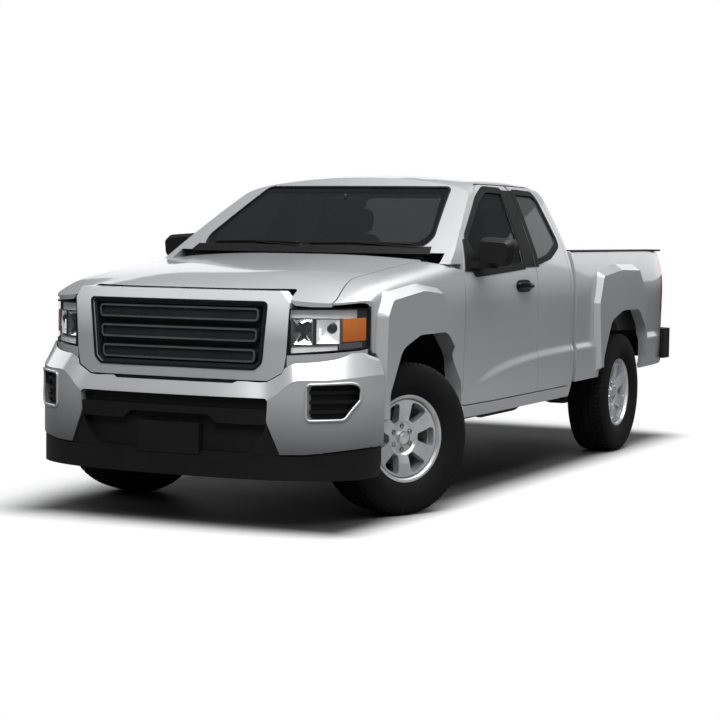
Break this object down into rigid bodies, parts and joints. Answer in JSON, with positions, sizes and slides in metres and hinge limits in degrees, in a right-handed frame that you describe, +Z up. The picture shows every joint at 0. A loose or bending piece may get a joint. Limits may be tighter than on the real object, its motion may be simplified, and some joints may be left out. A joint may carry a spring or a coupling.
{
  "type": "pickup truck",
  "caption": "Extended-cab pickup truck with a long load bed, hinged doors, bonnet and tailgate, steered front wheels and free-turning road wheels.",
  "frame": {"origin": "on the floor under the middle of the truck's length and width", "axes": "+Y towards the rear, +X towards the truck's left side, +Z up"},
  "size_m": [2.1948, 5.391, 1.7841],
  "materials": {
    "paint": "metallic silver",
    "frame_black": "satin black",
    "iron": "cast",
    "steel": "plain",
    "alloy": "machined",
    "trim": "grained black",
    "grille_grey": "dark grey",
    "cabin_grey": "grained grey",
    "seat_cloth": "woven",
    "glass": "tinted",
    "lens": "clear",
    "red_lens": "red lens",
    "tyre": "rubber",
    "liner": "rough black"
  },
  "bodies": {
    "chassis": {"frame_rail_left": "frame_black", "frame_rail_right": "frame_black", "cross_members": "frame_black", "engine": "iron", "exhaust": "steel", "propshaft": "frame_black", "fuel_tank": "frame_black", "rear_axle": "iron", "leaf_springs": "frame_black", "front_suspension": "frame_black", "spare_wheel": "tyre", "cab_shell": "paint", "cab_floor": "cabin_grey", "cab_tunnel": "cabin_grey", "firewall": "cabin_grey", "fenders": "paint", "wheel_liners": "liner", "radiator": "frame_black", "grille_surround": "paint", "grille": "grille_grey", "headlamps": "lens", "front_bumper": "paint", "fog_inserts": "trim", "front_valance": "trim", "fixed_glass": "glass", "cowl": "trim", "bed_box": "paint", "bedsides": "paint", "tail_lamps": "red_lens", "rear_bumper": "trim", "dashboard": "cabin_grey", "front_seats": "seat_cloth", "rear_bench": "seat_cloth", "steering_wheel": "cabin_grey"},
    "front_door_left": {"door_front_left": "paint", "door_glass_left": "glass", "mirror_left": "trim"},
    "rear_door_left": {"door_rear_left": "paint", "quarter_glass_left": "glass"},
    "steering_left": {"knuckle_left": "iron"},
    "front_wheel_left": {"rim_front_left": "alloy", "tyre_front_left": "tyre"},
    "rear_wheel_left": {"rim_rear_left": "alloy", "tyre_rear_left": "tyre"},
    "front_door_right": {"door_front_right": "paint", "door_glass_right": "glass", "mirror_right": "trim"},
    "rear_door_right": {"door_rear_right": "paint", "quarter_glass_right": "glass"},
    "steering_right": {"knuckle_right": "iron"},
    "front_wheel_right": {"rim_front_right": "alloy", "tyre_front_right": "tyre"},
    "rear_wheel_right": {"rim_rear_right": "alloy", "tyre_rear_right": "tyre"},
    "bonnet": {"bonnet": "paint"},
    "tailgate": {"tailgate": "paint"}
  },
  "joints": [
    {"name": "front_door_left_hinge", "type": "hinge", "parent": "chassis", "child": "front_door_left", "pos_m": [0.9, -1.132, 0.86], "axis": [0, 0, -1], "range_deg": [0, 68]},
    {"name": "rear_door_left_hinge", "type": "hinge", "parent": "chassis", "child": "rear_door_left", "pos_m": [0.912, 0.45, 0.9], "axis": [0, 0, 1], "range_deg": [0, 80]},
    {"name": "steer_left", "type": "hinge", "parent": "chassis", "child": "steering_left", "pos_m": [0.735, -1.7625, 0.388], "axis": [0, 0, 1], "range_deg": [-8, 60]},
    {"name": "front_wheel_left_spin", "type": "hinge", "parent": "steering_left", "child": "front_wheel_left", "pos_m": [0.78803, -1.78836, 0.388], "axis": [0.8988, -0.4384, 0], "continuous": true},
    {"name": "rear_wheel_left_spin", "type": "hinge", "parent": "chassis", "child": "rear_wheel_left", "pos_m": [0.794, 1.4955, 0.388], "axis": [1, 0, 0], "continuous": true},
    {"name": "front_door_right_hinge", "type": "hinge", "parent": "chassis", "child": "front_door_right", "pos_m": [-0.9, -1.132, 0.86], "axis": [0, 0, 1], "range_deg": [0, 68]},
    {"name": "rear_door_right_hinge", "type": "hinge", "parent": "chassis", "child": "rear_door_right", "pos_m": [-0.912, 0.45, 0.9], "axis": [0, 0, -1], "range_deg": [0, 80]},
    {"name": "steer_right", "type": "hinge", "parent": "chassis", "child": "steering_right", "pos_m": [-0.735, -1.7625, 0.388], "axis": [0, 0, 1], "range_deg": [-8, 60]},
    {"name": "front_wheel_right_spin", "type": "hinge", "parent": "steering_right", "child": "front_wheel_right", "pos_m": [-0.78803, -1.73664, 0.388], "axis": [0.8988, -0.4384, 0], "continuous": true},
    {"name": "rear_wheel_right_spin", "type": "hinge", "parent": "chassis", "child": "rear_wheel_right", "pos_m": [-0.794, 1.4955, 0.388], "axis": [1, 0, 0], "continuous": true},
    {"name": "bonnet_hinge", "type": "hinge", "parent": "chassis", "child": "bonnet", "pos_m": [0, -1.28, 1.262], "axis": [-1, 0, 0], "range_deg": [0, 52]},
    {"name": "tailgate_hinge", "type": "hinge", "parent": "chassis", "child": "tailgate", "pos_m": [0, 2.571, 0.828], "axis": [-1, 0, 0], "range_deg": [0, 90]}
  ],
  "couplings": [
    {"joint": "steer_right", "follows": "steer_left", "ratio": 1}
  ]
}
